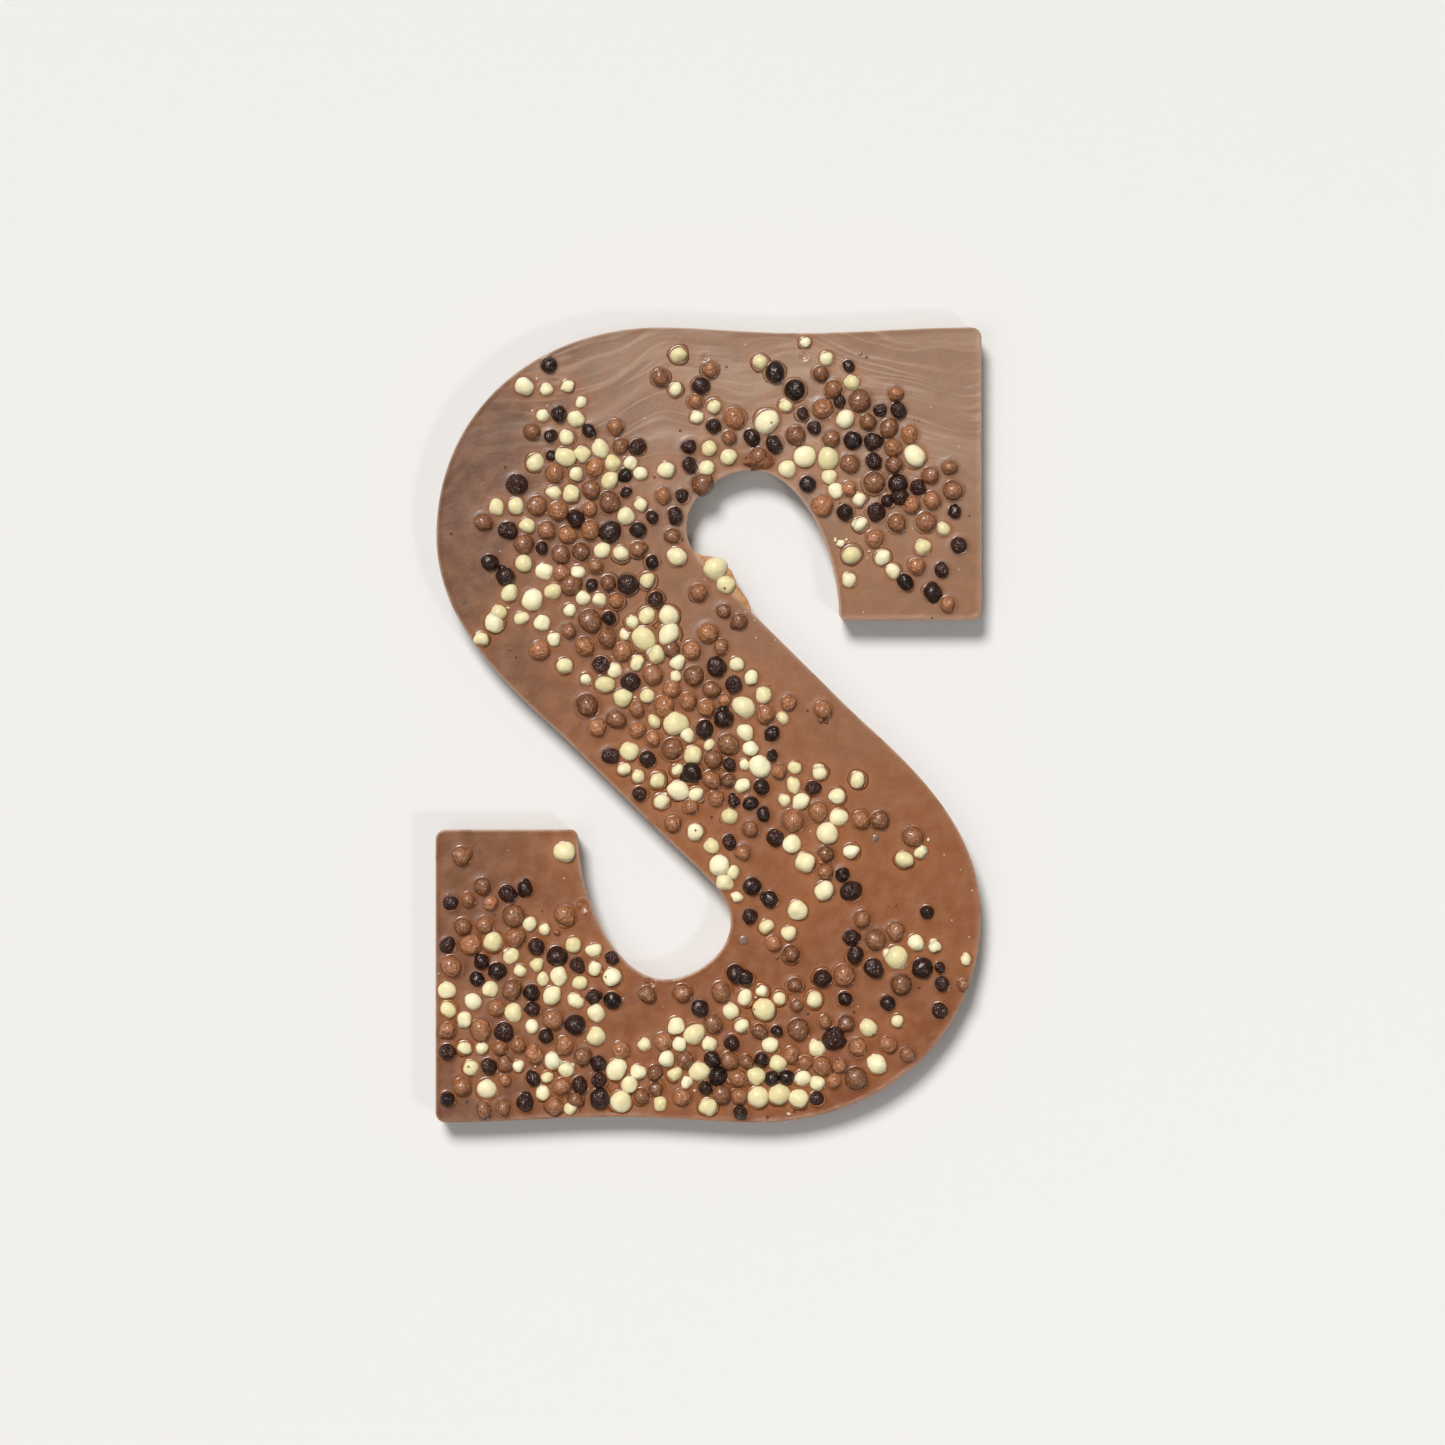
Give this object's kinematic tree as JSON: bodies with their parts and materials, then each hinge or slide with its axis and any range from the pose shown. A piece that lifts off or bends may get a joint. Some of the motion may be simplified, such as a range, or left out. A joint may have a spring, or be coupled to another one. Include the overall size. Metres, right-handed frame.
{
  "type": "chocolate letter",
  "caption": "Flat moulded milk chocolate letter S lying on its back, its open face strewn with crisp pearls of white, milk and dark chocolate.",
  "frame": {"origin": "middle of the letter's outline, on its flat back", "axes": "+X to the reader's right, +Y to the top of the letter, +Z out of the open face with the pearls"},
  "size_m": [0.133, 0.1938, 0.0107],
  "materials": {
    "milk_chocolate": "satin milk chocolate with a soft haze",
    "white_pearls": "smooth satin white chocolate",
    "milk_pearls": "grainy satin milk chocolate",
    "dark_pearls": "soft gloss dark chocolate"
  },
  "bodies": {
    "root": {"chocolate_letter": "milk_chocolate"}
  },
  "joints": []
}
